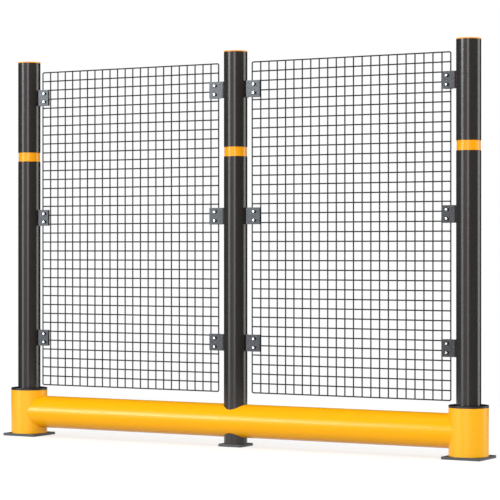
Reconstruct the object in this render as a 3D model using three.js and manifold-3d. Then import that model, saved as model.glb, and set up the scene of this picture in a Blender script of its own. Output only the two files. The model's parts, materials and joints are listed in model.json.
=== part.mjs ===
// Guard partition: three round plastic posts on steel base plates, two welded wire mesh panels,
// a fat round guard rail close to the floor and steel angle brackets that hold the mesh.
// Millimetres, +Z up. The origin is on the floor at the axis of the middle post, +X runs along
// the partition and -Y is the side that the bracket plates face.
import * as THREE from 'three';
import { mergeVertices } from 'three/addons/utils/BufferGeometryUtils.js';
import Module from 'manifold-3d';

const wasm = await Module();
wasm.setup();

// Clearances
const FIT = 0.3; // between pieces that touch or slide into each other
const RAIL_FIT = 0.5; // round the rail in the sleeves and round the posts in the rail
const CUT_MARGIN = 1; // how far a cutting tool runs past the face that it starts from
const SAME_POINT = 1e-4; // vertices closer than this are one

// Posts
const POST_PITCH = 1350;
const POST_DIAMETER = 125;
const POST_WALL = 8;
const OVERALL_HEIGHT = 2100;

// Post caps
const CAP_RIM = 6;
const CAP_CHAMFER = 2;
const CAP_PLUG_DEPTH = 24;
const CAP_PLUG_WALL = 3;

// Coloured bands, split rings in a groove of each post
const BAND_DROP = 510; // from the top of the cap to the top of the band
const BAND_HEIGHT = 50.5;
const BAND_RECESS = 2.5; // how far the band lies below the skin of the post
const BAND_THICKNESS = 2.2;
const BAND_SLIT = 3;

// Base plates and the steel cores that stand on them inside the posts
const BASE_THICKNESS = 14;
const END_BASE_MARGIN = 3.5; // round the sleeve
const MIDDLE_BASE_MARGIN = 5.5; // round the post
const END_ANCHOR_HOLE = 14;
const MIDDLE_ANCHOR_HOLE = 10;
const END_ANCHOR_INSET = 20.5; // from the edge of the plate to the axis of the hole
const MIDDLE_ANCHOR_INSET = 11;
const CORE_WALL = 4;
const CORE_HEIGHT = 440;

// Sleeves round the feet of the end posts, and the collars that close them
const SLEEVE_WALL = 6.5;
const SLEEVE_ROOM = 6; // between the sides of the rail and the inside of the sleeve
const SLEEVE_RISE = 32.5; // above the top of the rail
const COLLAR_HEIGHT = 12;
const COLLAR_CHAMFER = 2;
const COLLAR_SPIGOT_DEPTH = 16;
const COLLAR_SPIGOT_WALL = 6;

// Guard rail
const RAIL_DIAMETER = 177;
const RAIL_WALL = 7;
const RAIL_GROUND_GAP = 46.5;
const RAIL_END_SETBACK = 30; // from the axis of an end post to the end of the rail

// Mesh panels
const MESH_PITCH = 50;
const WIRE_DIAMETER = 7;
const MESH_PLANE = -3;
const MESH_CORNER_RADIUS = 8;
const MESH_RAIL_GAP = 63.5; // from the top of the rail to the lowest wire
const MESH_TOP_GAP = 63; // from the top of the cap to the highest wire
const MIDDLE_GAP = 41; // from the skin of the middle post to the nearest wire
const END_GAP = 34; // from the skin of an end post to the nearest wire
const WIRE_LAYER_GAP = 0.1; // between the upright and the level wires where they only cross

// Brackets
const BRACKET_HEIGHT = 89;
const BRACKET_THICKNESS = 3;
const BRACKET_BEND_RADIUS = 8; // inside the bend
const BRACKET_FOOT_LENGTH = 40;
const END_BRACKET_OVERLAP = 44; // from the outermost wire to the far edge of the plate
const MIDDLE_BRACKET_OVERLAP = 52.5;
const TOP_BRACKET_DROP = 141; // from the highest wire to the middle of the plate
const BOTTOM_BRACKET_RISE = 263; // from the lowest wire to the middle of the plate

// Clamps: a plate behind the mesh with two studs that end in round nuts on the bracket
const CLAMP_THICKNESS = 4;
const CLAMP_OVERHANG = 8; // past the outermost wire, on the side of the post
const CLAMP_SETBACK = 6; // from the far edge of the bracket's plate to that of the clamp's
const STUD_DIAMETER = 10;
const STUD_SPACING = 46;
const STUD_INSET = 17; // from the outermost wire to the axis of the stud
const NUT_DIAMETER = 15.5;
const NUT_HEIGHT = 10;
const NUT_CHAMFER = 1.5;

// Screws that hold each bracket's foot to the post
const SCREW_DIAMETER = 8;
const SCREW_HEAD_DIAMETER = 15;
const SCREW_HEAD_HEIGHT = 4.5;
const SCREW_OFFSET = 7; // behind the axis of the post
const SCREW_PROTRUSION = 4; // past the inside of the post's wall

// Facets
const BIG_SIDES = 28;
const SMALL_SIDES = 8;
const WIRE_SIDES = 4;
const BORDER_SIDES = 6;
const CORNER_STEPS = 3;
const BEND_STEPS = 4;

// Worked out from the sizes above
const postRadius = POST_DIAMETER / 2;
const postBore = postRadius - POST_WALL;
const postTop = OVERALL_HEIGHT - CAP_RIM;
const bandTop = OVERALL_HEIGHT - BAND_DROP;
const bandBottom = bandTop - BAND_HEIGHT;
const railRadius = RAIL_DIAMETER / 2;
const railHeight = RAIL_GROUND_GAP + railRadius;
const railTop = RAIL_GROUND_GAP + RAIL_DIAMETER;
const meshBottom = railTop + MESH_RAIL_GAP;
const middleGap = postRadius + MIDDLE_GAP; // from the axis of the post
const bayWidth = POST_PITCH - middleGap - postRadius - END_GAP;
const bayHeight = OVERALL_HEIGHT - MESH_TOP_GAP - meshBottom;
const meshColumns = Math.round(bayWidth / MESH_PITCH);
const meshRows = Math.round(bayHeight / MESH_PITCH);
const meshWidth = meshColumns * MESH_PITCH;
const meshHeight = meshRows * MESH_PITCH;
const meshTop = meshBottom + meshHeight;
const endGap = POST_PITCH - middleGap - meshWidth;
const wireRadius = WIRE_DIAMETER / 2;
const layerOffset = wireRadius + WIRE_LAYER_GAP / 2;
const bracketFront = MESH_PLANE - layerOffset - wireRadius - FIT - BRACKET_THICKNESS;
const clampFront = MESH_PLANE + layerOffset + wireRadius + FIT;
const sleeveRadius = railRadius + SLEEVE_ROOM + SLEEVE_WALL;
const sleeveTop = railTop + SLEEVE_RISE;
const footFace = postRadius + FIT;
const topBracket = meshTop - TOP_BRACKET_DROP;
const bottomBracket = meshBottom + BOTTOM_BRACKET_RISE;
const bracketHeights = {
  top: topBracket,
  centre: (topBracket + bottomBracket) / 2,
  bottom: bottomBracket,
};

const finish = (color, roughness, metalness) =>
  new THREE.MeshStandardMaterial({ color, roughness, metalness });

const materials = {
  postPlastic: finish(0x302c2b, 0.32, 0),
  capPlastic: finish(0xf39a12, 0.4, 0),
  bandPlastic: finish(0xf2b422, 0.25, 0),
  railPlastic: finish(0xf7a60c, 0.35, 0),
  collarRubber: finish(0x1b1b1d, 0.45, 0),
  baseSteel: finish(0x55565a, 0.5, 0.6),
  meshSteel: finish(0x45464a, 0.5, 0.4),
  bracketSteel: finish(0x8a9098, 0.4, 0.9),
  nutSteel: finish(0xdcdee0, 0.3, 0.8),
};

// Geometry to solid and back

function solidOf(geometry) {
  const bare = geometry.index ? geometry.toNonIndexed() : geometry.clone();
  bare.deleteAttribute('normal');
  bare.deleteAttribute('uv');
  const merged = mergeVertices(bare, SAME_POINT);
  const vertProperties = merged.attributes.position.array;
  const triVerts = new Uint32Array(merged.index.array);
  return new wasm.Manifold(new wasm.Mesh({ numProp: 3, vertProperties, triVerts }));
}

function geometryOf(solid) {
  const mesh = solid.getMesh();
  const geometry = new THREE.BufferGeometry();
  const position = new THREE.BufferAttribute(new Float32Array(mesh.vertProperties), 3);
  geometry.setAttribute('position', position);
  geometry.setIndex(new THREE.BufferAttribute(new Uint32Array(mesh.triVerts), 1));
  geometry.computeVertexNormals();
  return geometry;
}

function cut(geometry, tools) {
  const start = solidOf(geometry);
  return geometryOf(tools.reduce((solid, tool) => solid.subtract(solidOf(tool)), start));
}

function join(geometries) {
  const [first, ...others] = geometries.map(solidOf);
  return geometryOf(others.reduce((solid, other) => solid.add(other), first));
}

// Basic shapes

// A turned piece about the Z axis. The profile lists [radius, height] pairs, outside face upwards.
function turned(profile, sides) {
  const points = profile.map(([radius, height]) => new THREE.Vector2(radius, height));
  if (profile[0][0] > 0) points.push(points[0].clone());
  return new THREE.LatheGeometry(points, sides).rotateX(Math.PI / 2);
}

function tube(inner, outer, bottom, top, sides = BIG_SIDES) {
  return turned([[inner, bottom], [outer, bottom], [outer, top], [inner, top]], sides);
}

// A round rod from one height to another along an axis, 'x', 'y' or 'z'.
function rod(axis, radius, from, to, sides) {
  const geometry = new THREE.CylinderGeometry(radius, radius, to - from, sides);
  geometry.translate(0, (from + to) / 2, 0);
  if (axis === 'x') geometry.rotateZ(-Math.PI / 2);
  if (axis === 'z') geometry.rotateX(Math.PI / 2);
  return geometry;
}

// A flat outline in the XY plane, raised from one height to another.
function raised(shape, bottom, top) {
  const options = { depth: top - bottom, bevelEnabled: false, curveSegments: BEND_STEPS };
  return new THREE.ExtrudeGeometry(shape, options).translate(0, 0, bottom);
}

// Sub-parts

function postGeometry(bracketSides) {
  const grooveRadius = postRadius - BAND_RECESS - BAND_THICKNESS - FIT;
  const profile = [
    [postBore, BASE_THICKNESS],
    [postRadius, BASE_THICKNESS],
    [postRadius, bandBottom - FIT],
    [grooveRadius, bandBottom - FIT],
    [grooveRadius, bandTop + FIT],
    [postRadius, bandTop + FIT],
    [postRadius, postTop],
    [postBore, postTop],
  ];
  const holes = [];
  for (const side of bracketSides) {
    for (const height of Object.values(bracketHeights)) {
      const reach = [side * (postRadius + CUT_MARGIN), 0].sort((a, b) => a - b);
      const hole = rod('x', SCREW_DIAMETER / 2 + FIT, ...reach, SMALL_SIDES);
      holes.push(hole.translate(0, SCREW_OFFSET, height));
    }
  }
  return cut(turned(profile, BIG_SIDES), holes);
}

function capGeometry() {
  const plugRadius = postBore - FIT;
  const plugBore = plugRadius - CAP_PLUG_WALL;
  const plugBottom = postTop - CAP_PLUG_DEPTH;
  const rimBottom = postTop + FIT;
  return turned([
    [0, rimBottom],
    [plugBore, rimBottom],
    [plugBore, plugBottom],
    [plugRadius, plugBottom],
    [plugRadius, rimBottom],
    [postRadius, rimBottom],
    [postRadius, OVERALL_HEIGHT - CAP_CHAMFER],
    [postRadius - CAP_CHAMFER, OVERALL_HEIGHT],
    [0, OVERALL_HEIGHT],
  ], BIG_SIDES);
}

function bandGeometry() {
  const outer = postRadius - BAND_RECESS;
  const inner = outer - BAND_THICKNESS;
  const half = BAND_SLIT / 2 / outer;
  const middle = Math.PI / 2;
  const shape = new THREE.Shape();
  shape.absarc(0, 0, outer, middle + half, middle - half + 2 * Math.PI, false);
  shape.absarc(0, 0, inner, middle - half + 2 * Math.PI, middle + half, true);
  const options = { depth: BAND_HEIGHT, bevelEnabled: false, curveSegments: BIG_SIDES / 2 };
  return new THREE.ExtrudeGeometry(shape, options).translate(0, 0, bandBottom);
}

function basePlateGeometry(width, holeDiameter, inset) {
  const half = width / 2;
  const shape = new THREE.Shape();
  shape.moveTo(-half, -half);
  shape.lineTo(half, -half);
  shape.lineTo(half, half);
  shape.lineTo(-half, half);
  shape.closePath();
  for (const x of [-1, 1]) {
    for (const y of [-1, 1]) {
      const hole = new THREE.Path();
      const offset = half - inset;
      hole.absarc(x * offset, y * offset, holeDiameter / 2, 0, 2 * Math.PI);
      shape.holes.push(hole);
    }
  }
  return raised(shape, 0, BASE_THICKNESS);
}

function coreGeometry() {
  const outer = postBore - FIT;
  return tube(outer - CORE_WALL, outer, BASE_THICKNESS, BASE_THICKNESS + CORE_HEIGHT);
}

function sleeveGeometry(inward) {
  const wall = tube(sleeveRadius - SLEEVE_WALL, sleeveRadius, BASE_THICKNESS, sleeveTop);
  const reach = [0, inward * (sleeveRadius + CUT_MARGIN)].sort((a, b) => a - b);
  const mouth = rod('x', railRadius + RAIL_FIT, ...reach, BIG_SIDES);
  return cut(wall, [mouth.translate(0, 0, railHeight)]);
}

function collarGeometry() {
  const bore = postRadius + FIT;
  const spigot = sleeveRadius - SLEEVE_WALL - FIT;
  const top = sleeveTop + COLLAR_HEIGHT;
  return turned([
    [spigot - COLLAR_SPIGOT_WALL, sleeveTop - COLLAR_SPIGOT_DEPTH],
    [spigot, sleeveTop - COLLAR_SPIGOT_DEPTH],
    [spigot, sleeveTop],
    [sleeveRadius, sleeveTop],
    [sleeveRadius, top - COLLAR_CHAMFER],
    [sleeveRadius - COLLAR_CHAMFER, top],
    [bore, top],
    [bore, sleeveTop],
    [spigot - COLLAR_SPIGOT_WALL, sleeveTop],
  ], BIG_SIDES);
}

function railGeometry() {
  const half = POST_PITCH - RAIL_END_SETBACK;
  const wall = tube(railRadius - RAIL_WALL, railRadius, -half, half).rotateY(Math.PI / 2);
  wall.translate(0, 0, railHeight);
  const posts = [-POST_PITCH, 0, POST_PITCH].map((x) => {
    const passage = rod('z', postRadius + RAIL_FIT, 0, 2 * railHeight, BIG_SIDES);
    return passage.translate(x, 0, 0);
  });
  return cut(wall, posts);
}

// The rod that runs round a panel, in the XZ plane with its lower left corner at the origin.
function borderGeometry() {
  const radius = MESH_CORNER_RADIUS;
  const points = [];
  const corners = [
    [meshWidth - radius, radius, -Math.PI / 2],
    [meshWidth - radius, meshHeight - radius, 0],
    [radius, meshHeight - radius, Math.PI / 2],
    [radius, radius, Math.PI],
  ];
  for (const [x, z, start] of corners) {
    for (let step = 0; step <= CORNER_STEPS; step++) {
      const angle = start + (step / CORNER_STEPS) * (Math.PI / 2);
      points.push([x + radius * Math.cos(angle), z + radius * Math.sin(angle)]);
    }
  }
  return loopTube(points, wireRadius, BORDER_SIDES);
}

// A closed tube through points of the XZ plane, mitred at each of them.
function loopTube(points, radius, sides) {
  const count = points.length;
  const positions = [];
  const direction = (a, b) => new THREE.Vector2(b[0] - a[0], b[1] - a[1]).normalize();
  for (let i = 0; i < count; i++) {
    const before = direction(points[(i + count - 1) % count], points[i]);
    const after = direction(points[i], points[(i + 1) % count]);
    const mitre = new THREE.Vector2().addVectors(before, after).normalize();
    const stretch = 1 / Math.abs(mitre.dot(after));
    const outward = new THREE.Vector2(mitre.y, -mitre.x).multiplyScalar(stretch);
    for (let side = 0; side < sides; side++) {
      const angle = ((side + 0.5) / sides) * 2 * Math.PI;
      const out = radius * Math.cos(angle);
      const x = points[i][0] + outward.x * out;
      const z = points[i][1] + outward.y * out;
      positions.push(x, radius * Math.sin(angle), z);
    }
  }
  const index = [];
  for (let i = 0; i < count; i++) {
    for (let side = 0; side < sides; side++) {
      const a = i * sides + side;
      const b = i * sides + ((side + 1) % sides);
      const c = ((i + 1) % count) * sides + side;
      const d = ((i + 1) % count) * sides + ((side + 1) % sides);
      index.push(a, b, d, a, d, c);
    }
  }
  const geometry = new THREE.BufferGeometry();
  geometry.setAttribute('position', new THREE.Float32BufferAttribute(positions, 3));
  geometry.setIndex(index);
  return geometry;
}

// Upright wires lie behind the border rod's middle and level wires in front of it. They are
// welded to the rod at their ends, and cross each other a hair apart.
function panelGeometry() {
  const pieces = [borderGeometry()];
  for (let column = 1; column < meshColumns; column++) {
    const wire = rod('z', wireRadius, 0, meshHeight, WIRE_SIDES);
    pieces.push(wire.translate(column * MESH_PITCH, layerOffset, 0));
  }
  for (let row = 1; row < meshRows; row++) {
    const wire = rod('x', wireRadius, 0, meshWidth, WIRE_SIDES);
    pieces.push(wire.translate(0, -layerOffset, row * MESH_PITCH));
  }
  return join(pieces);
}

// An angle bracket at a post on the Z axis: the plate lies in front of the mesh and the foot
// runs back along the side of the post. The side is 1 to the right of the post, -1 to the left.
function bracketGeometry(side, reach, firstWire) {
  const outer = BRACKET_BEND_RADIUS + BRACKET_THICKNESS;
  const inner = BRACKET_BEND_RADIUS;
  const bendX = footFace + outer;
  const bendY = bracketFront + outer;
  const footEnd = bracketFront + BRACKET_FOOT_LENGTH;
  const outline = [[reach, bracketFront]];
  for (let step = 0; step <= BEND_STEPS; step++) {
    const angle = -Math.PI / 2 - (step / BEND_STEPS) * (Math.PI / 2);
    outline.push([bendX + outer * Math.cos(angle), bendY + outer * Math.sin(angle)]);
  }
  outline.push([footFace, footEnd], [footFace + BRACKET_THICKNESS, footEnd]);
  for (let step = BEND_STEPS; step >= 0; step--) {
    const angle = -Math.PI / 2 - (step / BEND_STEPS) * (Math.PI / 2);
    outline.push([bendX + inner * Math.cos(angle), bendY + inner * Math.sin(angle)]);
  }
  outline.push([reach, bracketFront + BRACKET_THICKNESS]);
  const shape = new THREE.Shape(outline.map(([x, y]) => new THREE.Vector2(side * x, y)));
  const plate = raised(shape, -BRACKET_HEIGHT / 2, BRACKET_HEIGHT / 2);
  const holes = [-1, 1].map((up) => {
    const hole = rod('y', STUD_DIAMETER / 2 + FIT, bracketFront - CUT_MARGIN, MESH_PLANE, SMALL_SIDES);
    return hole.translate(side * (firstWire + STUD_INSET), 0, (up * STUD_SPACING) / 2);
  });
  const span = [side * postRadius, side * (bendX + outer)].sort((a, b) => a - b);
  const screwHole = rod('x', SCREW_DIAMETER / 2 + FIT, ...span, SMALL_SIDES);
  return cut(plate, [...holes, screwHole.translate(0, SCREW_OFFSET, 0)]);
}

// The clamp plate behind the mesh with its two studs and their round nuts.
function clampGeometry(side, reach, firstWire) {
  const from = firstWire - CLAMP_OVERHANG;
  const to = reach - CLAMP_SETBACK;
  const plate = new THREE.BoxGeometry(to - from, CLAMP_THICKNESS, BRACKET_HEIGHT);
  plate.translate((side * (from + to)) / 2, clampFront + CLAMP_THICKNESS / 2, 0);
  const studRadius = STUD_DIAMETER / 2;
  const nutRadius = NUT_DIAMETER / 2;
  const nutBack = bracketFront - FIT;
  const nutFront = nutBack - NUT_HEIGHT;
  const length = clampFront + CLAMP_THICKNESS / 2 - nutBack;
  const profile = [
    [0, -length],
    [studRadius, -length],
    [studRadius, 0],
    [nutRadius, 0],
    [nutRadius, nutBack - nutFront - NUT_CHAMFER],
    [nutRadius - NUT_CHAMFER, nutBack - nutFront],
    [0, nutBack - nutFront],
  ];
  const studs = [-1, 1].map((up) => {
    const stud = turned(profile, SMALL_SIDES).rotateX(Math.PI / 2);
    return stud.translate(side * (firstWire + STUD_INSET), nutBack, (up * STUD_SPACING) / 2);
  });
  return join([plate, ...studs]);
}

// A screw through the foot of a bracket into the wall of the post.
function screwGeometry(side) {
  const headBack = footFace + BRACKET_THICKNESS + FIT;
  const tip = Math.sqrt(postBore ** 2 - SCREW_OFFSET ** 2) - SCREW_PROTRUSION;
  const profile = [
    [0, tip],
    [SCREW_DIAMETER / 2, tip],
    [SCREW_DIAMETER / 2, headBack],
    [SCREW_HEAD_DIAMETER / 2, headBack],
    [SCREW_DIAMETER / 2, headBack + SCREW_HEAD_HEIGHT],
    [0, headBack + SCREW_HEAD_HEIGHT],
  ];
  const screw = turned(profile, SMALL_SIDES).rotateY((side * Math.PI) / 2);
  return screw.translate(0, SCREW_OFFSET, 0);
}

// Assembly

const partition = new THREE.Group();

function place(name, geometry, material, x = 0, y = 0, z = 0, parent = partition) {
  const mesh = new THREE.Mesh(geometry, material);
  mesh.name = name;
  mesh.position.set(x, y, z);
  parent.add(mesh);
}

function addBrackets(postGroup, label, side, reach, firstWire) {
  const bracket = bracketGeometry(side, reach, firstWire);
  const clamp = clampGeometry(side, reach, firstWire);
  const screw = screwGeometry(side);
  for (const [level, z] of Object.entries(bracketHeights)) {
    const where = `${label}_${level}`;
    place(`bracket_${where}`, bracket, materials.bracketSteel, 0, 0, z, postGroup);
    place(`mesh_clamp_${where}`, clamp, materials.nutSteel, 0, 0, z, postGroup);
    place(`foot_screw_${where}`, screw, materials.nutSteel, 0, 0, z, postGroup);
  }
}

function addPost(label, x, isEnd, bracketSides) {
  const group = new THREE.Group();
  group.position.x = x;
  partition.add(group);
  const endBase = 2 * (sleeveRadius + END_BASE_MARGIN);
  const baseWidth = isEnd ? endBase : 2 * (postRadius + MIDDLE_BASE_MARGIN);
  const anchorHole = isEnd ? END_ANCHOR_HOLE : MIDDLE_ANCHOR_HOLE;
  const anchorInset = isEnd ? END_ANCHOR_INSET : MIDDLE_ANCHOR_INSET;
  const base = basePlateGeometry(baseWidth, anchorHole, anchorInset);
  place(`base_plate_${label}`, base, materials.baseSteel, 0, 0, 0, group);
  place(`post_core_${label}`, coreGeometry(), materials.baseSteel, 0, 0, 0, group);
  place(`post_${label}`, postGeometry(bracketSides), materials.postPlastic, 0, 0, 0, group);
  place(`post_cap_${label}`, capGeometry(), materials.capPlastic, 0, 0, 0, group);
  place(`band_${label}`, bandGeometry(), materials.bandPlastic, 0, 0, 0, group);
  const firstWire = isEnd ? endGap : middleGap;
  const reach = firstWire + (isEnd ? END_BRACKET_OVERLAP : MIDDLE_BRACKET_OVERLAP);
  for (const side of bracketSides) {
    const column = isEnd ? label : `${label}_${side > 0 ? 'right' : 'left'}`;
    addBrackets(group, column, side, reach, firstWire);
  }
  if (isEnd) {
    const inward = -Math.sign(x);
    place(`sleeve_${label}`, sleeveGeometry(inward), materials.railPlastic, 0, 0, 0, group);
    place(`collar_${label}`, collarGeometry(), materials.collarRubber, 0, 0, 0, group);
  }
}

addPost('left', -POST_PITCH, true, [1]);
addPost('middle', 0, false, [-1, 1]);
addPost('right', POST_PITCH, true, [-1]);
place('guard_rail', railGeometry(), materials.railPlastic);
const panel = panelGeometry();
const panelX = { left: -middleGap - meshWidth, right: middleGap };
for (const [label, x] of Object.entries(panelX)) {
  place(`mesh_panel_${label}`, panel, materials.meshSteel, x, MESH_PLANE, meshBottom);
}

export default partition;
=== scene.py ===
"""Look of the wire mesh guard partition. Lengths are millimetres until a mesh is made."""

import json
import math

import bmesh
import bpy
from mathutils import Matrix, Vector

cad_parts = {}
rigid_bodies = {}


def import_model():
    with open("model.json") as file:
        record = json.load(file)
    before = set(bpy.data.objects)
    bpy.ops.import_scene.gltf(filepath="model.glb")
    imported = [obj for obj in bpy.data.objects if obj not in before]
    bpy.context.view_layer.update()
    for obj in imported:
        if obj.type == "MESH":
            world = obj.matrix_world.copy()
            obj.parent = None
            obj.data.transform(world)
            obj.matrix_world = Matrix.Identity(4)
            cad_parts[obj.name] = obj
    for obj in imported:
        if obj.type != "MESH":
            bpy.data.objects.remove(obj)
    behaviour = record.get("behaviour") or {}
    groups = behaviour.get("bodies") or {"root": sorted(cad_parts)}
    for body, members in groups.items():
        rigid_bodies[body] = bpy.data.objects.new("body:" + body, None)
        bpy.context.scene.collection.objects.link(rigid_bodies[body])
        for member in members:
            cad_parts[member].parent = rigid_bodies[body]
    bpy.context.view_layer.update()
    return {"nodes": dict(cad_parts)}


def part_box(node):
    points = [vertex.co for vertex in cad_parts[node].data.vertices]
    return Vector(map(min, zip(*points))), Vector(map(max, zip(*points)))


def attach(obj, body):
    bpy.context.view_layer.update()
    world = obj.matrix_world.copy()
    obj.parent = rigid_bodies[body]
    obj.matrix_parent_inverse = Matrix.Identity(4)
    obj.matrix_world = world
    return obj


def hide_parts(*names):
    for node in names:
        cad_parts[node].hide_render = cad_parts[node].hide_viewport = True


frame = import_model()

MM = 0.001

# Facets of round shapes
ROUND = 144
RAIL_ROUND = 160
SMALL_ROUND = 32
WIRE_ROUND = 12
BEAD_ROUND = 8

CLEARANCE = 0.3  # between pieces that touch
PASSAGE = 0.5  # round a tube that passes through another
TOOL_REACH = 2.0  # of a tool past what it cuts
RAIL_TOOL = 150.0  # half the length of the tools that cut the rail

POST_WALL = 8.0
GROOVE_DEPTH = 5.0  # for a band
BAND_RECESS = 2.5  # of a band's face behind that of the post
BAND_THICKNESS = 2.2
BAND_SLIT = 3.0
PLUG_WALL = 3.0  # of a post's cap

SLEEVE_WALL = 6.5
SPIGOT_WALL = 6.0  # of a collar, in the sleeve
RAIL_WALL = 7.0

ANCHOR_HOLES = {"left": (7, 20.5), "middle": (5, 11), "right": (7, 20.5)}  # radius, inset from the edges
ANCHOR_SINK = 1.0  # depth and width of the chamfer at an anchor hole
BASE_CORNER = 2.5
BASE_EDGE = 0.8

MESH_PITCH = 50.0
MESH_CORNER = 8.0  # radius of the border's corners
WIRE_RADIUS = 3.5
WIRE_EDGE = 0.5  # rounding of a wire's ends
WIRE_LAYER = 3.55  # from the middle of the mesh to the axis of its wires
BEAD_RADIUS = 3.6  # of a weld where two wires cross
BEAD_HALF = 1.2

PLATE = 3.0  # thickness of a bracket
BEND = 8.0  # inside the bend of a bracket
PLATE_CORNER = 3.0  # radius of the corners of brackets and clamps
PLATE_EDGE = 0.5
CLAMP = 4.0  # thickness of a clamp's plate
STUD_INSET = 25.0  # from the edge of a clamp's plate that is nearer to the post
STUD_HALF = 23.0  # half the distance between two studs
STUD_HOLE = 5.3  # radius, as all round sizes here
THREAD_ROOT = 4.3
THREAD_CREST = 5.0
THREAD_PITCH = 1.5

NUT_RADIUS = 7.75
NUT_SHADED_RIM = 1.4  # width of the near-black rim round a nut's bright face, painted shade that also covers the nut's side
NUT_FACE = 3.0  # depth of the bright face

SCREW_RADIUS = 4.0
SCREW_HOLE = 4.3
SCREW_TIP = 1.5  # length of its taper
SCREW_HEAD = 7.5
SCREW_CROWN = 4.6  # the flat top of its head
SOCKET_RADIUS = 2.5
SOCKET_DEPTH = 2.2

POSTS = ("left", "middle", "right")
COLUMNS = {"left": "left", "middle_left": "middle", "middle_right": "middle", "right": "right"}
LEVELS = ("top", "centre", "bottom")


def box(node):
    """A node's lowest and highest corners in mm."""
    return [Vector([round(value / MM, 3) for value in corner]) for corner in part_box(node)]


def middle(node, axis):
    """The middle of a node's box along an axis."""
    low, high = box(node)
    return (low[axis] + high[axis]) / 2


def distances(node, x):
    """How near and how far a node's box is from a plane across the X axis."""
    low, high = box(node)
    return sorted((abs(low.x - x), abs(high.x - x)))


def centre_of(label):
    return middle(f"post_{label}", 0)


def at(x, y=0.0, z=0.0):
    return Matrix.Translation((x, y, z))


def quarter_turn(axis, sign=1):
    return Matrix.Rotation(sign * math.pi / 2, 4, axis)


# Outlines


def rounded(corners, steps=4):
    """A closed outline whose corners, given as (x, y, radius), are rounded."""
    outline = []
    for i, (x, y, radius) in enumerate(corners):
        here = Vector((x, y))
        if radius == 0:
            outline.append(here)
            continue
        before = (Vector(corners[i - 1][:2]) - here).normalized()
        after = (Vector(corners[(i + 1) % len(corners)][:2]) - here).normalized()
        half = before.angle(after) / 2
        centre = here + (before + after).normalized() * radius / math.sin(half)
        start = here + before * radius / math.tan(half) - centre
        end = here + after * radius / math.tan(half) - centre
        sweep = math.pi - 2 * half
        for step in range(steps + 1):
            part = step / steps
            spoke = start * math.sin((1 - part) * sweep) + end * math.sin(part * sweep)
            outline.append(centre + spoke / math.sin(sweep))
    return outline


def rectangle(x0, x1, y0, y1, radius, steps=4):
    return rounded([(x0, y0, radius), (x1, y0, radius), (x1, y1, radius), (x0, y1, radius)], steps)


# Shapes, each a bmesh in mm


def turned(outline, segments=ROUND, slit=0.0):
    """Turned about the Z axis from a closed outline of (radius, height). A slit in radians, if
    there is one, opens it at +Y."""
    bm = bmesh.new()
    turns = 2 * math.pi - slit
    spokes = segments + 1 if slit else segments
    start = math.pi / 2 + slit / 2
    rings = []
    for radius, height in outline:
        count = spokes if radius > 1e-9 else 1
        angles = [start + turns * k / segments for k in range(count)]
        ring = [(radius * math.cos(angle), radius * math.sin(angle), height) for angle in angles]
        rings.append([bm.verts.new(spot) for spot in ring])
    for ring, following in zip(rings, rings[1:] + rings[:1]):
        for k in range(segments):
            corners = [
                ring[k % len(ring)],
                ring[(k + 1) % len(ring)],
                following[(k + 1) % len(following)],
                following[k % len(following)],
            ]
            corners = list(dict.fromkeys(corners))
            if len(corners) > 2:
                bm.faces.new(corners)
    if slit:
        bm.faces.new([ring[0] for ring in rings])
        bm.faces.new([ring[-1] for ring in rings])
    bmesh.ops.recalc_face_normals(bm, faces=bm.faces)
    return bm


def prism(outline, low, high):
    """An outline of (x, y) drawn out along the Z axis."""
    bm = bmesh.new()
    bottom = [bm.verts.new((x, y, low)) for x, y in outline]
    top = [bm.verts.new((x, y, high)) for x, y in outline]
    bm.faces.new(bottom)
    bm.faces.new(top)
    for i in range(len(outline)):
        bm.faces.new((bottom[i - 1], bottom[i], top[i], top[i - 1]))
    bmesh.ops.recalc_face_normals(bm, faces=bm.faces)
    return bm


def soften(bm, width, segments=2, chosen=None):
    """Bevels the sharp edges, or the chosen ones."""
    edges = chosen or [edge for edge in bm.edges if edge.calc_face_angle(0) > math.radians(30)]
    bmesh.ops.bevel(
        bm, geom=edges, offset=width, offset_type="OFFSET", segments=segments,
        profile=0.5, affect="EDGES", clamp_overlap=True,
    )
    return bm


def edges_where(bm, test):
    """The edges whose two ends pass a test."""
    return [edge for edge in bm.edges if all(test(end.co) for end in edge.verts)]


def placed(bm, matrix):
    """The bmesh moved by a matrix, its faces kept outward where the matrix mirrors."""
    bm.transform(matrix)
    if matrix.determinant() < 0:
        bmesh.ops.reverse_faces(bm, faces=bm.faces)
    return bm


def merged(shapes):
    """One bmesh that holds several, which are used up."""
    whole = bmesh.new()
    for shape in shapes:
        mesh = bpy.data.meshes.new("part")
        shape.to_mesh(mesh)
        shape.free()
        whole.from_mesh(mesh)
        bpy.data.meshes.remove(mesh)
    return whole


def rod(radius, start, end, segments=SMALL_ROUND, edge=0.0):
    """A round rod along the Z axis, turned and moved to run from one point to another."""
    start, end = Vector(start), Vector(end)
    length = (end - start).length
    outline = rounded([(0, 0, 0), (radius, 0, edge), (radius, length, edge), (0, length, 0)], 2)
    turn = Vector((0, 0, 1)).rotation_difference(end - start).to_matrix().to_4x4()
    return placed(turned(outline, segments), Matrix.Translation(start) @ turn)


def mesh_of(bm, name):
    """A mesh in metres from a bmesh, which is used up."""
    bm.transform(Matrix.Scale(MM, 4))
    mesh = bpy.data.meshes.new(name)
    bm.to_mesh(mesh)
    bm.free()
    return mesh


def extent(mesh):
    """The mesh's lowest and highest coordinate along each axis."""
    return [end(spot.co[axis] for spot in mesh.vertices) for axis in range(3) for end in (min, max)]


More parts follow.
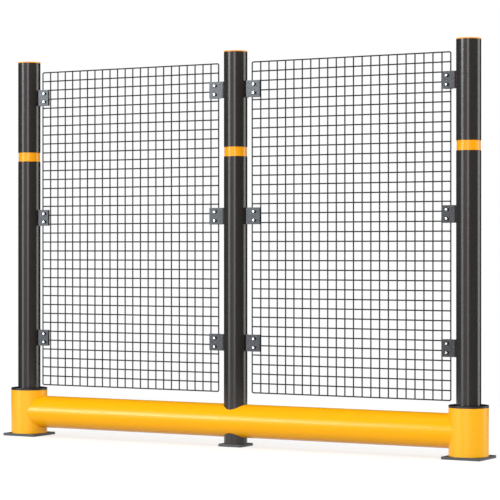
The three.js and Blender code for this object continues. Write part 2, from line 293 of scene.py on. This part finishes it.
def cut(bm, tools):
    """A bmesh with the tools, which are used up, taken out of it. No cut here reaches a body's
    outermost faces, so its extent has to stay."""
    shown = bpy.context.scene.collection.objects
    body = bpy.data.objects.new("body", mesh_of(bm, "body"))
    tool = bpy.data.objects.new("tool", mesh_of(merged(tools), "tool"))
    shown.link(body)
    shown.link(tool)
    modifier = body.modifiers.new("cut", "BOOLEAN")
    modifier.operation = "DIFFERENCE"
    modifier.solver = "EXACT"
    modifier.use_self = True
    modifier.object = tool
    final = body.evaluated_get(bpy.context.evaluated_depsgraph_get())
    result = bpy.data.meshes.new_from_object(final)
    if any(abs(was - now) > 0.01 * MM for was, now in zip(extent(body.data), extent(result))):
        raise RuntimeError("a cut changed the extent of its body")
    made = bmesh.new()
    made.from_mesh(result)
    made.transform(Matrix.Scale(1 / MM, 4))
    for thing in (body, tool):
        mesh = thing.data
        bpy.data.objects.remove(thing)
        bpy.data.meshes.remove(mesh)
    bpy.data.meshes.remove(result)
    return made


def piece(name, bm, shader, node, true_normal=None):
    """Makes a bmesh a piece that stands in for a node, or for a share of it.
    true_normal(position in mm, face normal) gives the exact normal of a curved surface, or None
    where the mesh's own will do."""
    mesh = mesh_of(bm, name)
    mesh.shade_smooth()
    mesh.set_sharp_from_angle(angle=math.radians(32))
    mesh.materials.append(shader.material)
    made = bpy.data.objects.new(name, mesh)
    bpy.context.scene.collection.objects.link(made)
    if true_normal:
        normals = [Vector(normal.vector) for normal in mesh.corner_normals]
        for face in mesh.polygons:
            for corner in face.loop_indices:
                spot = mesh.vertices[mesh.loops[corner].vertex_index].co / MM
                exact = true_normal(spot, face.normal)
                if exact is not None:
                    normals[corner] = exact
        mesh.normals_split_custom_set(normals)
    else:
        flat = made.modifiers.new("flat", "WEIGHTED_NORMAL")
        flat.keep_sharp = True
        flat.weight = 100
    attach(made, "root")
    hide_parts(node)


# Materials


class Shader:
    """A node material with one Principled BSDF, whose details are laid in object space."""

    def __init__(self, name, color, roughness, metallic=0.0, specular=0.5):
        self.material = bpy.data.materials.new(name)
        self.material.use_nodes = True
        self.material.diffuse_color = (*color, 1)
        self.tree = self.material.node_tree
        self.bsdf = next(node for node in self.tree.nodes if node.type == "BSDF_PRINCIPLED")
        self.bsdf.inputs["Base Color"].default_value = (*color, 1)
        self.bsdf.inputs["Roughness"].default_value = roughness
        self.bsdf.inputs["Metallic"].default_value = metallic
        self.bsdf.inputs["Specular IOR Level"].default_value = specular
        self.place = self.node("ShaderNodeTexCoord").outputs["Object"]
        self.relieved = None

    def node(self, kind, **inputs):
        """A new node. The names of its inputs have _ for a space."""
        made = self.tree.nodes.new(kind)
        for name, value in inputs.items():
            self.feed(made.inputs[name.replace("_", " ")], value)
        return made

    def feed(self, socket, value):
        """Links a socket to another, or sets it to a value."""
        if isinstance(value, bpy.types.NodeSocket):
            self.tree.links.new(value, socket)
        else:
            socket.default_value = value

    def noise(self, size, detail, stretch=(1, 1, 1)):
        """Noise from 0 to 1 whose grain is about size mm, longer along the stretched axes."""
        scale = [1 / (size * MM * share) for share in stretch]
        mapping = self.node("ShaderNodeMapping", Vector=self.place, Scale=scale)
        made = self.node("ShaderNodeTexNoise", Vector=mapping.outputs["Vector"], Detail=detail)
        made.inputs["Scale"].default_value = 1.0
        made.inputs["Roughness"].default_value = 0.55
        return made.outputs["Fac"]

    def spread(self, noise, low, high):
        """Spreads a noise, which is mostly from 0.3 to 0.7, over a range."""
        ends = {"From_Min": 0.3, "From_Max": 0.7, "To_Min": low, "To_Max": high}
        return self.node("ShaderNodeMapRange", Value=noise, **ends).outputs["Result"]

    def tint(self, noise, share, color):
        """Mixes up to a share of another colour into the base colour."""
        socket = self.bsdf.inputs["Base Color"]
        made = self.node("ShaderNodeMix")
        made.data_type = "RGBA"
        self.feed(made.inputs["Factor"], self.spread(noise, 0, share))
        first, second, mixed = made.inputs[6], made.inputs[7], made.outputs[2]
        first.default_value = socket.default_value
        second.default_value = (*color, 1)
        self.feed(socket, mixed)

    def roughen(self, noise, low, high):
        self.feed(self.bsdf.inputs["Roughness"], self.spread(noise, low, high))

    def relief(self, noise, depth):
        """Adds a bump whose full height is depth mm."""
        made = self.node("ShaderNodeBump", Height=noise, Strength=1.0, Distance=depth * MM)
        if self.relieved is not None:
            self.feed(made.inputs["Normal"], self.relieved)
        self.relieved = made.outputs["Normal"]
        self.feed(self.bsdf.inputs["Normal"], self.relieved)


def extruded_plastic(name, color, dark, roughness, along, specular=0.5):
    """Extruded plastic: faint die lines along it, a soft mottle and fine handling marks."""
    made = Shader(name, color, roughness, specular=specular)
    lines = tuple(400 if axis == along else 1 for axis in "xyz")
    made.tint(made.noise(90, 2), 0.30, dark)
    made.roughen(made.noise(14, 4), roughness - 0.03, roughness + 0.05)
    made.relief(made.noise(1.6, 3, lines), 0.012)
    made.relief(made.noise(38, 2), 0.05)
    return made


def coated_steel(name, color, dark, roughness, metallic):
    """Powder coated steel: the coat's orange peel and a faint cloudiness."""
    made = Shader(name, color, roughness, metallic)
    made.tint(made.noise(30, 3), 0.35, dark)
    made.roughen(made.noise(6, 3), roughness - 0.05, roughness + 0.06)
    made.relief(made.noise(1.3, 3), 0.02)
    return made


post_plastic = extruded_plastic(
    "post_plastic", (0.030, 0.0265, 0.0235), (0.024, 0.021, 0.019), 0.16, "z")
rail_plastic = extruded_plastic(
    "rail_plastic", (0.98, 0.44, 0.003), (0.95, 0.415, 0.003), 0.20, "x", 0.2)
sleeve_plastic = extruded_plastic(
    "sleeve_plastic", (0.98, 0.455, 0.006), (0.95, 0.43, 0.005), 0.29, "z", 0.34)

cap_plastic = Shader("cap_plastic", (0.90, 0.33, 0.010), 0.34)
cap_plastic.tint(cap_plastic.noise(25, 3), 0.3, (0.84, 0.29, 0.008))
cap_plastic.relief(cap_plastic.noise(0.9, 3), 0.015)

band_plastic = Shader("band_plastic", (0.95, 0.37, 0.002), 0.20, specular=0.38)
band_plastic.tint(band_plastic.noise(20, 2), 0.3, (0.90, 0.33, 0.002))
band_plastic.relief(band_plastic.noise(6, 2), 0.012)

collar_rubber = Shader("collar_rubber", (0.012, 0.012, 0.014), 0.38)
collar_rubber.tint(collar_rubber.noise(12, 3), 0.5, (0.020, 0.020, 0.022))
collar_rubber.roughen(collar_rubber.noise(5, 3), 0.32, 0.46)
collar_rubber.relief(collar_rubber.noise(0.5, 4), 0.03)

base_steel = coated_steel(
    "base_steel", (0.060, 0.062, 0.067), (0.045, 0.047, 0.052), 0.42, 0.25)
mesh_steel = coated_steel(
    "mesh_steel", (0.013, 0.013, 0.014), (0.010, 0.010, 0.011), 0.55, 0.0)
bracket_steel = coated_steel(
    "bracket_steel", (0.049, 0.048, 0.050), (0.042, 0.0415, 0.043), 0.27, 0.60)
# Near-black for the nuts' rims and sides: painted shade on what is bright metal, not a black coat.
shade_painted_steel = coated_steel(
    "shade_painted_steel", (0.006, 0.006, 0.0065), (0.004, 0.004, 0.0045), 0.60, 0.0)

fastener_steel = Shader("fastener_steel", (0.80, 0.80, 0.80), 0.20, 1.0)
fastener_steel.tint(fastener_steel.noise(3, 3), 0.4, (0.70, 0.70, 0.71))
fastener_steel.roughen(fastener_steel.noise(1.2, 3), 0.15, 0.28)
fastener_steel.relief(fastener_steel.noise(0.4, 2, (1, 8, 1)), 0.006)


# Pieces


def round_normal(off, radius, normal):
    """The exact normal of a round face, from its point's offset to the axis, or None."""
    if off.length > radius - 0.02 and normal.dot(off.normalized()) > 0.99:
        return off.normalized()
    return None


def hole_normal(off, radius, normal):
    """The same in a round hole."""
    if abs(off.length - radius) < 0.1 and normal.dot(off.normalized()) < -0.98:
        return -off.normalized()
    return None


def add_post(label):
    x = centre_of(label)
    low, high = box(f"post_{label}")
    radius = (high.x - low.x) / 2
    bore = radius - POST_WALL
    groove = radius - GROOVE_DEPTH
    band_low, band_high = box(f"band_{label}")
    profile = rounded([
        (bore, low.z, 0.6),
        (radius, low.z, 0.8),
        (radius, band_low.z - CLEARANCE, 0.5),
        (groove, band_low.z - CLEARANCE, 0.3),
        (groove, band_high.z + CLEARANCE, 0.3),
        (radius, band_high.z + CLEARANCE, 0.5),
        (radius, high.z, 0.5),
        (bore, high.z, 0.5),
    ])
    holes = []
    for column in COLUMNS:
        if COLUMNS[column] != label:
            continue
        for level in LEVELS:
            screw = f"foot_screw_{column}_{level}"
            side = 1 if middle(screw, 0) > x else -1
            y, z = middle(screw, 1), middle(screw, 2)
            holes.append(rod(SCREW_HOLE, (0, y, z), (side * (radius + TOOL_REACH), y, z)))

    def exact(point, normal):
        return round_normal(Vector((point.x - x, point.y, 0)), radius, normal)

    tube = placed(cut(turned(profile), holes), at(x))
    piece(f"post_{label}_tube", tube, post_plastic, f"post_{label}", exact)

    cap_low, cap_high = box(f"post_cap_{label}")
    rim = high.z + CLEARANCE
    plug = bore - CLEARANCE
    profile = rounded([
        (0, cap_high.z, 0),
        (radius, cap_high.z, 1.8),
        (radius, rim, 0.4),
        (plug, rim, 0.2),
        (plug, cap_low.z, 1.0),
        (plug - PLUG_WALL, cap_low.z, 0.4),
        (plug - PLUG_WALL, rim, 0.6),
        (0, rim, 0),
    ])
    disc = placed(turned(profile), at(x))
    piece(f"post_cap_{label}_disc", disc, cap_plastic, f"post_cap_{label}")

    face = radius - BAND_RECESS
    profile = rounded([
        (face, band_low.z, 0.5),
        (face, band_high.z, 0.5),
        (face - BAND_THICKNESS, band_high.z, 0.3),
        (face - BAND_THICKNESS, band_low.z, 0.3),
    ])
    ring = placed(turned(profile, slit=BAND_SLIT / face), at(x))
    piece(f"band_{label}_ring", ring, band_plastic, f"band_{label}")


def add_base(label):
    low, high = box(f"base_plate_{label}")
    half = (high.x - low.x) / 2
    hole, inset = ANCHOR_HOLES[label]
    sink = [
        (0, high.z - ANCHOR_SINK),
        (hole, high.z - ANCHOR_SINK),
        (hole + 2 * ANCHOR_SINK, high.z + ANCHOR_SINK),
        (0, high.z + ANCHOR_SINK),
    ]
    tools = []
    for a in (inset - half, half - inset):
        for b in (inset - half, half - inset):
            tools.append(rod(hole, (a, b, low.z - 1), (a, b, high.z + 1)))
            tools.append(placed(turned(sink, SMALL_ROUND), at(a, b)))
    plate = soften(prism(rectangle(-half, half, -half, half, BASE_CORNER), low.z, high.z), BASE_EDGE)
    plate = placed(cut(plate, tools), at(centre_of(label)))
    piece(f"base_plate_{label}_steel", plate, base_steel, f"base_plate_{label}")


def add_sleeve(label):
    x = centre_of(label)
    low, high = box(f"sleeve_{label}")
    radius = (high.x - low.x) / 2
    bore = radius - SLEEVE_WALL
    rail_low, rail_high = box("guard_rail")
    mouth = (rail_high.z - rail_low.z) / 2 + PASSAGE
    axis = middle("guard_rail", 2)
    profile = rounded([
        (bore, low.z, 0.6),
        (radius, low.z, 0.8),
        (radius, high.z, 0.6),
        (bore, high.z, 0.4),
    ])
    toward_rail = 1 if x < 0 else -1
    tool = rod(mouth, (0, 0, axis), (toward_rail * (radius + 5), 0, axis), ROUND)

    def exact(point, normal):
        around = Vector((point.x - x, point.y, 0))
        across = Vector((0, point.y, point.z - axis))
        return round_normal(around, radius, normal) or hole_normal(across, mouth, normal)

    tube = placed(cut(turned(profile), [tool]), at(x))
    piece(f"sleeve_{label}_tube", tube, sleeve_plastic, f"sleeve_{label}", exact)

    collar_low, collar_high = box(f"collar_{label}")
    post_low, post_high = box(f"post_{label}")
    throat = (post_high.x - post_low.x) / 2 + CLEARANCE
    spigot = bore - CLEARANCE
    profile = rounded([
        (spigot - SPIGOT_WALL, collar_low.z, 0.6),
        (spigot, collar_low.z, 1.2),
        (spigot, high.z, 0.2),
        (radius, high.z, 0.4),
        (radius, collar_high.z, 2.0),
        (throat, collar_high.z, 0.8),
        (throat, high.z, 0.4),
        (spigot - SPIGOT_WALL, high.z, 0.4),
    ])
    ring = placed(turned(profile), at(x))
    piece(f"collar_{label}_ring", ring, collar_rubber, f"collar_{label}")


def add_rail():
    low, high = box("guard_rail")
    radius = (high.z - low.z) / 2
    half = (high.x - low.x) / 2
    axis = middle("guard_rail", 2)
    post_low, post_high = box("post_middle")
    passage = (post_high.x - post_low.x) / 2 + PASSAGE
    posts = [centre_of(label) for label in POSTS]
    profile = rounded([
        (radius - RAIL_WALL, -half, 0.5),
        (radius, -half, 0.5),
        (radius, half, 0.5),
        (radius - RAIL_WALL, half, 0.5),
    ])
    tube = placed(turned(profile, RAIL_ROUND), quarter_turn("Y"))
    tools = [rod(passage, (x, 0, -RAIL_TOOL), (x, 0, RAIL_TOOL), ROUND) for x in posts]

    def exact(point, normal):
        found = round_normal(Vector((0, point.y, point.z - axis)), radius, normal)
        for x in posts:
            found = found or hole_normal(Vector((point.x - x, point.y, 0)), passage, normal)
        return found

    tube = placed(cut(tube, tools), at(0, 0, axis))
    piece("guard_rail_tube", tube, rail_plastic, "guard_rail", exact)


def loop(points, radius):
    """A closed rod of round section through points of the XZ plane."""
    bm = bmesh.new()
    rings = []
    for i, here in enumerate(points):
        before = (here - points[i - 1]).normalized()
        after = (points[(i + 1) % len(points)] - here).normalized()
        mitre = (before + after).normalized()
        outward = Vector((mitre.y, -mitre.x)) / max(mitre.dot(after), 0.5)
        ring = []
        for k in range(WIRE_ROUND):
            angle = 2 * math.pi * k / WIRE_ROUND
            spot = here + outward * radius * math.cos(angle)
            ring.append(bm.verts.new((spot.x, radius * math.sin(angle), spot.y)))
        rings.append(ring)
    for ring, following in zip(rings, rings[1:] + rings[:1]):
        for k in range(WIRE_ROUND):
            bm.faces.new((ring[k - 1], ring[k], following[k], following[k - 1]))
    bmesh.ops.recalc_face_normals(bm, faces=bm.faces)
    return bm


def add_panel(label):
    node = f"mesh_panel_{label}"
    low, high = box(node)
    columns = round((high.x - low.x) / MESH_PITCH)
    rows = round((high.z - low.z) / MESH_PITCH)
    x0 = (low.x + high.x - columns * MESH_PITCH) / 2
    z0 = (low.z + high.z - rows * MESH_PITCH) / 2
    x1, z1 = x0 + columns * MESH_PITCH, z0 + rows * MESH_PITCH
    xs = [x0 + i * MESH_PITCH for i in range(1, columns)]
    zs = [z0 + i * MESH_PITCH for i in range(1, rows)]
    plane = middle(node, 1)
    front, back = plane - WIRE_LAYER, plane + WIRE_LAYER

    def wire(start, end):
        return rod(WIRE_RADIUS, start, end, WIRE_ROUND, WIRE_EDGE)

    frame_line = rectangle(x0, x1, z0, z1, MESH_CORNER, 8)
    bead = rounded([
        (0, -BEAD_HALF, 0),
        (BEAD_RADIUS, -BEAD_HALF, 1.1),
        (BEAD_RADIUS, BEAD_HALF, 1.1),
        (0, BEAD_HALF, 0),
    ], 2)
    shapes = {
        "border": placed(loop(frame_line, WIRE_RADIUS), at(0, plane)),
        "uprights": merged([wire((x, back, z0), (x, back, z1)) for x in xs]),
        "levels": merged([wire((x0, front, z), (x1, front, z)) for z in zs]),
        "welds": merged([
            placed(turned(bead, BEAD_ROUND), at(x, plane, z) @ quarter_turn("X")) for x in xs for z in zs
        ]),
    }
    for name, shape in shapes.items():
        piece(f"{node}_{name}", shape, mesh_steel, node)


# Brackets, clamps and their screws are drawn on the right side of a post. The matrix, place,
# takes them to their own.


def studs_of(where, x):
    """The places of a clamp's two studs in X and Z."""
    stud = distances(f"mesh_clamp_{where}", x)[0] + STUD_INSET
    return [(stud, -STUD_HALF), (stud, STUD_HALF)]


def add_angle(where, x, place):
    node = f"bracket_{where}"
    low, high = box(node)
    foot, reach = distances(node, x)
    half = (high.z - low.z) / 2
    front, back = low.y, high.y
    outline = rounded([
        (reach, front, 0),
        (foot, front, BEND + PLATE),
        (foot, back, 0),
        (foot + PLATE, back, 0),
        (foot + PLATE, front + PLATE, BEND),
        (reach, front + PLATE, 0),
    ], 10)
    plate = prism(outline, -half, half)
    far = edges_where(plate, lambda spot: spot.x > reach - 0.01 and abs(spot.z) > half - 0.01)
    rear = edges_where(plate, lambda spot: spot.y > back - 0.01 and abs(spot.z) > half - 0.01)
    soften(plate, PLATE_CORNER, 5, far + rear)
    soften(plate, PLATE_EDGE)
    inside, outside = front + PLATE + TOOL_REACH, front - TOOL_REACH
    holes = [rod(STUD_HOLE, (sx, outside, sz), (sx, inside, sz)) for sx, sz in studs_of(where, x)]
    y = middle(f"foot_screw_{where}", 1)
    holes.append(rod(SCREW_HOLE, (foot - TOOL_REACH, y, 0), (foot + PLATE + TOOL_REACH, y, 0)))
    piece(f"{node}_angle", placed(cut(plate, holes), place), bracket_steel, node)


def add_clamp(where, x, place):
    node = f"mesh_clamp_{where}"
    low, high = box(node)
    near, far = distances(node, x)
    bracket_low, bracket_high = box(f"bracket_{where}")
    half = (bracket_high.z - bracket_low.z) / 2
    plate = soften(prism(rectangle(near, far, -half, half, PLATE_CORNER, 5), 0, CLAMP), PLATE_EDGE)
    upright = Matrix(((1, 0, 0, 0), (0, 0, 1, high.y - CLAMP), (0, 1, 0, 0), (0, 0, 0, 1)))
    plate = placed(placed(plate, upright), place)
    piece(f"{node}_plate", plate, bracket_steel, node)

    start = bracket_low.y - CLEARANCE

    def on_studs(outline, turn):
        """Turned from an outline at both studs, from the back of the nuts on."""
        shapes = [
            placed(turned(outline, SMALL_ROUND), at(sx, start, sz) @ turn) for sx, sz in studs_of(where, x)
        ]
        return placed(merged(shapes), place)

    length = start - low.y
    face = NUT_RADIUS - NUT_SHADED_RIM
    faces = rounded([
        (0, length, 0),
        (face - 0.2, length, 0.5),
        (face, length - NUT_FACE, 0),
        (0, length - NUT_FACE, 0),
    ])
    # The rim round each bright face and the nut's side are near-black: painted shade.
    shaded_rims = rounded([
        (face, length - 0.4, 0.2),
        (NUT_RADIUS, length - NUT_SHADED_RIM, 0.4),
        (NUT_RADIUS, 0, 0.4),
        (NUT_RADIUS - 3, 0, 0),
        (face, length - NUT_FACE - 0.5, 0),
    ])
    forward, backward = quarter_turn("X"), quarter_turn("X", -1)
    piece(f"{node}_faces", on_studs(faces, forward), fastener_steel, node)
    piece(f"{node}_rims", on_studs(shaded_rims, forward), shade_painted_steel, node)

    length = high.y - CLAMP - start
    count = int(length / THREAD_PITCH)
    thread = [(0, 0)]
    for k in range(count):
        thread += [(THREAD_ROOT, k * length / count), (THREAD_CREST, (k + 0.5) * length / count)]
    thread += [(THREAD_ROOT, length), (0, length)]
    piece(f"{node}_studs", on_studs(thread, backward), fastener_steel, node)


def add_screw(where, x, place):
    node = f"foot_screw_{where}"
    tip, top = distances(node, x)
    head = distances(f"bracket_{where}", x)[0] + PLATE + CLEARANCE
    profile = rounded([
        (0, tip, 0),
        (SCREW_RADIUS - 0.8, tip, 0.6),
        (SCREW_RADIUS, tip + SCREW_TIP, 0.3),
        (SCREW_RADIUS, head, 0),
        (SCREW_HEAD, head, 0.5),
        (SCREW_HEAD - 0.3, head + 1.6, 1.0),
        (SCREW_CROWN, top, 1.2),
        (0, top, 0),
    ])
    corners = [k * math.pi / 3 for k in range(6)]
    hexagon = [(SOCKET_RADIUS * math.cos(a), SOCKET_RADIUS * math.sin(a)) for a in corners]
    screw = cut(turned(profile, SMALL_ROUND), [prism(hexagon, top - SOCKET_DEPTH, top + 1)])
    screw = placed(screw, at(0, middle(node, 1)) @ quarter_turn("Y"))
    piece(f"{node}_bolt", placed(screw, place), fastener_steel, node)


for name in POSTS:
    add_post(name)
    add_base(name)
for name in ("left", "right"):
    add_sleeve(name)
    add_panel(name)
add_rail()
for name, post in COLUMNS.items():
    for level in LEVELS:
        where = f"{name}_{level}"
        bracket, x = f"bracket_{where}", centre_of(post)
        side = 1 if middle(bracket, 0) > x else -1
        place = at(x, 0, middle(bracket, 2)) @ Matrix.Diagonal((side, 1, 1, 1))
        add_angle(where, x, place)
        add_clamp(where, x, place)
        add_screw(where, x, place)

# The cores inside the posts keep their own shape.
for name in POSTS:
    core = frame["nodes"][f"post_core_{name}"]
    core.data.materials.clear()
    core.data.materials.append(base_steel.material)


# Studio, in metres and degrees

CARD_DISTANCE = 50.0
CARD_STEPS = 8
LAMP_TARGET = Vector((0, 0, 1.0))


def light_path(tree):
    """1 on camera, glossy and transmission rays, 0 on the others."""
    path = tree.nodes.new("ShaderNodeLightPath")
    value = path.outputs["Is Camera Ray"]
    for ray in ("Is Glossy Ray", "Is Transmission Ray"):
        larger = tree.nodes.new("ShaderNodeMath")
        larger.operation = "MAXIMUM"
        tree.links.new(value, larger.inputs[0])
        tree.links.new(path.outputs[ray], larger.inputs[1])
        value = larger.outputs["Value"]
    return value


def add_world(ambient):
    world = bpy.data.worlds.new("studio")
    bpy.context.scene.world = world
    world.use_nodes = True
    tree = world.node_tree
    tree.nodes.clear()
    mix = tree.nodes.new("ShaderNodeMixShader")
    tree.links.new(light_path(tree), mix.inputs["Fac"])
    for socket, strength in zip(mix.inputs[1:], (ambient, 1.0)):
        white = tree.nodes.new("ShaderNodeBackground")
        white.inputs["Color"].default_value = (1, 1, 1, 1)
        white.inputs["Strength"].default_value = strength
        tree.links.new(white.outputs["Background"], socket)
    out = tree.nodes.new("ShaderNodeOutputWorld")
    tree.links.new(mix.outputs["Shader"], out.inputs["Surface"])


def emptied(name):
    """A new material and its empty node tree."""
    material = bpy.data.materials.new(name)
    material.use_nodes = True
    material.node_tree.nodes.clear()
    return material, material.node_tree


def times(tree, value, number):
    product = tree.nodes.new("ShaderNodeMath")
    product.operation = "MULTIPLY"
    product.inputs[1].default_value = number
    tree.links.new(value, product.inputs[0])
    return product.outputs["Value"]


def add_floor(radius, grey, lift):
    """A round matt floor, lifted towards white for the rays that show it."""
    bm = bmesh.new()
    bmesh.ops.create_circle(bm, cap_ends=True, segments=96, radius=radius)
    mesh = bpy.data.meshes.new("floor")
    bm.to_mesh(mesh)
    bm.free()
    floor = bpy.data.objects.new("floor", mesh)
    bpy.context.scene.collection.objects.link(floor)
    floor.location.z = -CLEARANCE * MM
    material, tree = emptied("floor")
    matte = tree.nodes.new("ShaderNodeBsdfDiffuse")
    matte.inputs["Color"].default_value = (grey, grey, grey, 1)
    glow = tree.nodes.new("ShaderNodeEmission")
    tree.links.new(times(tree, light_path(tree), lift), glow.inputs["Strength"])
    both = tree.nodes.new("ShaderNodeAddShader")
    tree.links.new(matte.outputs["BSDF"], both.inputs[0])
    tree.links.new(glow.outputs["Emission"], both.inputs[1])
    out = tree.nodes.new("ShaderNodeOutputMaterial")
    tree.links.new(both.outputs["Shader"], out.inputs["Surface"])
    mesh.materials.append(material)


def add_reflected(name, bm, color, strength, levels=None):
    """A piece of the studio that only reflections show. Its glow follows levels, a list of
    (height in metres, share of the strength), or is even."""
    mesh = bpy.data.meshes.new(name)
    bm.to_mesh(mesh)
    bm.free()
    made = bpy.data.objects.new(name, mesh)
    bpy.context.scene.collection.objects.link(made)
    material, tree = emptied(name)
    glow = tree.nodes.new("ShaderNodeEmission")
    glow.inputs["Color"].default_value = (*color, 1)
    glow.inputs["Strength"].default_value = strength
    if levels:
        place = tree.nodes.new("ShaderNodeTexCoord")
        height = tree.nodes.new("ShaderNodeSeparateXYZ")
        tree.links.new(place.outputs["Object"], height.inputs["Vector"])
        reach = tree.nodes.new("ShaderNodeMapRange")
        tree.links.new(height.outputs["Z"], reach.inputs["Value"])
        low, high = levels[0][0], levels[-1][0]
        reach.inputs["From Min"].default_value = low
        reach.inputs["From Max"].default_value = high
        ramp = tree.nodes.new("ShaderNodeValToRGB")
        tree.links.new(reach.outputs["Result"], ramp.inputs["Fac"])
        stops = ramp.color_ramp.elements
        while len(stops) < len(levels):
            stops.new(0.5)
        for stop, (level, share) in zip(stops, levels):
            stop.position = (level - low) / (high - low)
            stop.color = (share, share, share, 1)
        tree.links.new(times(tree, ramp.outputs["Color"], strength), glow.inputs["Strength"])
    out = tree.nodes.new("ShaderNodeOutputMaterial")
    tree.links.new(glow.outputs["Emission"], out.inputs["Surface"])
    mesh.materials.append(material)
    made.visible_camera = False
    made.visible_diffuse = False
    made.visible_transmission = False
    made.visible_shadow = False


def add_dome(radius, grey):
    """The dark studio all round."""
    bm = bmesh.new()
    bmesh.ops.create_uvsphere(bm, u_segments=48, v_segments=24, radius=radius)
    add_reflected("studio_dome", bm, (grey, grey, grey), 1.0)


def add_card(name, start, end, profile, color):
    """A tall bright card far away, from one azimuth to another. The profile lists
    (elevation in degrees, radiance)."""
    heights = [CARD_DISTANCE * math.tan(math.radians(elevation)) for elevation, radiance in profile]
    peak = max(radiance for elevation, radiance in profile)
    bm = bmesh.new()
    rows = []
    for height in (heights[0], heights[-1]):
        row = []
        for k in range(CARD_STEPS + 1):
            turn = math.radians(start + (end - start) * k / CARD_STEPS)
            spot = (CARD_DISTANCE * math.cos(turn), CARD_DISTANCE * math.sin(turn), height)
            row.append(bm.verts.new(spot))
        rows.append(row)
    for k in range(CARD_STEPS):
        bm.faces.new((rows[0][k], rows[0][k + 1], rows[1][k + 1], rows[1][k]))
    levels = [(height, radiance / peak) for height, (elevation, radiance) in zip(heights, profile)]
    add_reflected(name, bm, color, peak, levels)


def add_lamp(name, azimuth, elevation, distance, size, level, color):
    """A soft lamp that reflections don't show, aimed at the middle of the object. The level is
    what it adds to a white surface that faces it."""
    data = bpy.data.lights.new(name, "AREA")
    data.shape = "SQUARE"
    data.size = size
    data.color = color
    data.energy = level * math.pi * math.pi * distance * distance
    lamp = bpy.data.objects.new(name, data)
    bpy.context.scene.collection.objects.link(lamp)
    turn, rise = math.radians(azimuth), math.radians(elevation)
    way = Vector((math.cos(turn) * math.cos(rise), math.sin(turn) * math.cos(rise), math.sin(rise)))
    lamp.location = LAMP_TARGET + way * distance
    lamp.rotation_euler = way.to_track_quat("Z", "Y").to_euler()
    lamp.visible_camera = False
    lamp.visible_glossy = False


add_world(0.60)
add_floor(3.1, 0.42, 0.64)
add_dome(70.0, 0.004)
add_card("card_left", -136.5, -116.3, [
    (-35, 0.0), (-20, 0.5), (-10, 1.7), (-4, 2.65), (0, 3.5), (5, 4.2), (8, 4.5), (11, 16.0),
    (14, 26.0), (17, 19.0), (21, 6.5), (28, 1.7), (36, 0.3), (48, 0.0),
], (0.85, 0.94, 1.0))
add_card("card_between", -116.3, -78.0, [
    (-30, 0.0), (-10, 0.43), (0, 0.53), (12, 0.7), (30, 0.1), (45, 0.0),
], (1.0, 0.95, 0.95))
add_card("card_front", -78.0, -62.3, [
    (-35, 0.0), (-15, 0.9), (-4, 1.65), (0, 2.5), (5, 3.9), (10, 4.6), (16, 4.4), (24, 1.4), (40, 0.0),
], (0.98, 0.90, 1.0))
add_card("card_right", 26.5, 53.5, [
    (-35, 0.0), (-15, 1.6), (-4, 2.8), (5, 3.2), (15, 3.3), (25, 1.5), (40, 0.0),
], (0.92, 1.0, 0.98))
add_lamp("lamp_left", -125.0, 14.0, 9.0, 4.5, 0.36, (0.96, 0.98, 1.0))
add_lamp("lamp_front", -78.0, 7.0, 9.0, 5.0, 0.50, (1, 1, 1))
add_lamp("lamp_right", 15.0, 16.0, 9.0, 4.5, 0.37, (0.97, 1.0, 0.99))
add_lamp("lamp_above", -110.0, 78.0, 5.5, 4.5, 0.30, (1, 1, 1))

# Fitted to the crossings of the wires
camera_data = bpy.data.cameras.new("camera")
camera_data.sensor_width = 36.0
camera_data.lens = 150.34
camera = bpy.data.objects.new("camera", camera_data)
bpy.context.scene.collection.objects.link(camera)
camera.location = (5.626, -9.5748, 1.0423)
camera.rotation_euler = (math.pi / 2, 0, math.radians(30.044))
bpy.context.scene.camera = camera
bpy.context.scene.view_settings.view_transform = "Standard"
